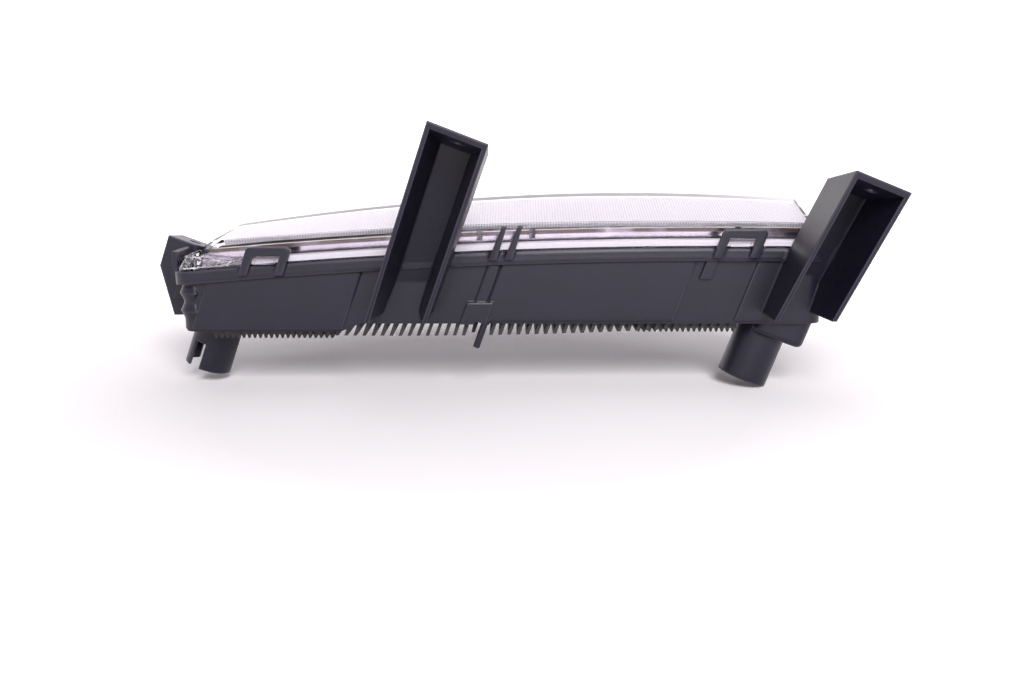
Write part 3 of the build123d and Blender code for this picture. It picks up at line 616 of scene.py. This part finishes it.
band_left, band_right, band_runout = -0.129, 0.178, 0.004
band_wall = 0.0006
band_profile = (  # across the lamp, and up from the flange
    (-0.0012, -0.0001),
    (-0.0011, 0.0023),
    (-0.0006, 0.003),
    (0.0046, 0.0032),
    (0.0048, -0.0001),
)
rows = len(band_profile) - 1
band = lay_grid("lens_foot_band", 120, rows)
for v in band.data.vertices:
    x = band_left + (v.co.x + 0.5) * (band_right - band_left)
    y, rise = band_profile[round((v.co.y + 0.5) * rows)]
    full = min(1, (x - band_left) / band_runout, (band_right - x) / band_runout)
    v.co = (x, y, foot_top(x) + rise * full)
thicken(band, band_wall)
bpy.ops.object.shade_smooth_by_angle()
grit_size = 1 / 1500  # 0.67 mm
painted_highlight, tree, shader, place = start_material("painted_highlight_polycarbonate")
grit = add_node(tree, "TexNoise", {"Scale": 1 / grit_size, "Detail": 2}, {"Vector": place})
# Painted highlight: the pale grey stands in for the shine of the clear flange.
tint = add_node(
    tree,
    "Mix",
    {mix_low: linear("#c3bcc8"), mix_high: linear("#dcd5e0")},
    {0: grit.outputs[0]},
    data_type="RGBA",
)
tree.links.new(tint.outputs[mix_result], shader.inputs["Base Color"])
shader.inputs["Transmission Weight"].default_value = 0.06
shader.inputs["Roughness"].default_value = 0.4
shader.inputs["IOR"].default_value = 1.58
band.data.materials.append(painted_highlight)
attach(band, "root")


# Corner fillet: the lens's left corner, where the moulding was gated, is a lumpy clear fillet
# between foot and wall. It runs from the near side round the corner and grows towards the end.
corner_left, corner_round = -0.166, 0.008
fillet_start, fillet_end = -0.127, 0.03
fillet_out, fillet_in = -0.0009, 0.0034
fillet_rise, fillet_growth = 0.0012, 0.0048
fillet_wall = 0.0008
lump = 0.0006
# The lumps' turns, in radians for each metre along and each width across: a lump every 7 mm, and
# half-high ones every 3 mm.
lump_along, lump_across, lump_twist = 900, 5, 260
fine_along, fine_across, fine_share = 2100, 9, 0.5
straight = fillet_start - corner_left - corner_round
turn = corner_round * math.pi / 2
run = straight + turn + fillet_end - corner_round
corner = lay_grid("lens_corner_fillet", 90, 10)
for v in corner.data.vertices:
    along = (v.co.x + 0.5) * run
    across = v.co.y + 0.5
    inset = fillet_out + across * (fillet_in - fillet_out)
    if along < straight:
        x, y = fillet_start - along, inset
    elif along < straight + turn:
        angle = (along - straight) / corner_round
        x = corner_left + corner_round - (corner_round - inset) * math.sin(angle)
        y = corner_round - (corner_round - inset) * math.cos(angle)
    else:
        x, y = corner_left + inset, corner_round + along - straight - turn
    rise = fillet_rise + fillet_growth * min(1, along / straight) ** 2
    wave = math.sin(along * lump_along) * math.cos(across * lump_across + along * lump_twist)
    wave += fine_share * math.sin(along * fine_along + across * fine_across)
    z = foot_top(x) + rise * math.sin(across * math.pi / 2)
    v.co = (x, y, z + lump * wave * math.sin(across * math.pi))
thicken(corner, fillet_wall)
face_outwards()
bpy.ops.object.shade_smooth()
corner.data.materials.append(clear)
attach(corner, "root")


# Stage: a white paper sweep under and behind the lamp. For the camera, and in gloss and glass, it
# is lifted to white, more so away from the lamp, and the lamp's shadow stays on the floor.
def seen_rays(tree):
    """1 for what the camera, gloss or glass shows, and 0 for what lights the lamp."""
    path = add_node(tree, "LightPath")
    seen = path.outputs["Is Camera Ray"]
    for kind in ("Is Glossy Ray", "Is Transmission Ray"):
        either = add_node(tree, "Math", (), {0: seen, 1: path.outputs[kind]}, operation="MAXIMUM")
        seen = either.outputs[0]
    return seen


floor_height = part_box("housing")[0].z
sweep_width, sweep_height = 6, 3
sweep_front, sweep_back = -3, 1.4
sweep_curve = 0.7
lift_near, lift_far = 0.15, 0.55  # distances from the origin
lift_least, lift_most = 0.05, 1.1
bpy.ops.object.select_all(action="DESELECT")
bpy.ops.mesh.primitive_plane_add(size=sweep_width, location=(0, 0, 0))
sweep = bpy.context.object
sweep.name = "sweep"
for v in sweep.data.vertices:
    v.co.z = floor_height
    v.co.y = sweep_back if v.co.y > 0 else sweep_front
bpy.ops.object.mode_set(mode="EDIT")
bpy.ops.mesh.select_all(action="DESELECT")
bpy.ops.object.mode_set(mode="OBJECT")
for e in sweep.data.edges:
    e.select = all(sweep.data.vertices[i].co.y > 0 for i in e.vertices)
bpy.ops.object.mode_set(mode="EDIT")
bpy.ops.mesh.select_mode(type="EDGE")
bpy.ops.mesh.extrude_region_move(TRANSFORM_OT_translate={"value": (0, 0, sweep_height)})
bpy.ops.object.mode_set(mode="OBJECT")
curve = sweep.modifiers.new("curve", "BEVEL")
curve.width = sweep_curve
curve.segments = 16
bpy.ops.object.modifier_apply(modifier="curve")
bpy.ops.object.shade_smooth()
paper, tree, shader, place = start_material("white_paper_sweep")
distance = add_node(tree, "VectorMath", (), {0: place}, operation="LENGTH")
level = add_node(
    tree,
    "MapRange",
    {"From Min": lift_near, "From Max": lift_far, "To Min": lift_least, "To Max": lift_most},
    {"Value": distance.outputs["Value"]},
)
lift = add_node(
    tree, "Math", (), {0: seen_rays(tree), 1: level.outputs[0]}, operation="MULTIPLY"
)
tree.links.new(lift.outputs[0], shader.inputs["Emission Strength"])
shader.inputs["Emission Color"].default_value = linear("#fffafe")
shader.inputs["Base Color"].default_value = linear("#f7f2f6")
shader.inputs["Roughness"].default_value = 0.9
shader.inputs["Specular IOR Level"].default_value = 0.1
sweep.data.materials.append(paper)


# Surroundings: a plain pale room. It is white for the camera, and in gloss and glass, and lights
# the lamp only weakly, so that the shadows keep their depth.
room_light = 0.13
world = bpy.data.worlds.new("studio")
bpy.context.scene.world = world
world.use_nodes = True
tree = world.node_tree
level = add_node(
    tree, "MapRange", {"To Min": room_light, "To Max": 1}, {"Value": seen_rays(tree)}
)
tree.links.new(level.outputs[0], tree.nodes["Background"].inputs["Strength"])
tree.nodes["Background"].inputs["Color"].default_value = linear("#fffcff")


# Lights: a soft box in front of the lamp, above the camera and a little to its right, and a
# larger, weaker one overhead. Both look at the origin.
for name, place, size, power in (
    ("key", (0.2, -1.1, 0.72), 0.5, 21.0),
    ("overhead", (0, 0.1, 1.2), 1.0, 1.5),
):
    bpy.ops.object.light_add(type="AREA", location=place)
    light = bpy.context.object
    light.name = name
    light.data.size = size
    light.data.energy = power
    x, y, z = place
    light.rotation_euler = (math.atan2(math.hypot(x, y), z), 0, math.atan2(x, -y))


# Camera: as the photograph was taken, about 0.54 m in front of the near flank and looking down on
# it a little. Its focal length is given in pixels of the photograph's width.
camera_place = (0.015, -0.537, 0.109)
camera_tilt = 12.5
sensor_width = 36
focal_pixels, photo_pixels = 1000, 1024
bpy.ops.object.camera_add(
    location=camera_place, rotation=(math.radians(90 - camera_tilt), 0, 0)
)
camera = bpy.context.object
camera.data.sensor_width = sensor_width
camera.data.lens = sensor_width * focal_pixels / photo_pixels
bpy.context.scene.camera = camera
bpy.context.scene.view_settings.view_transform = "Standard"
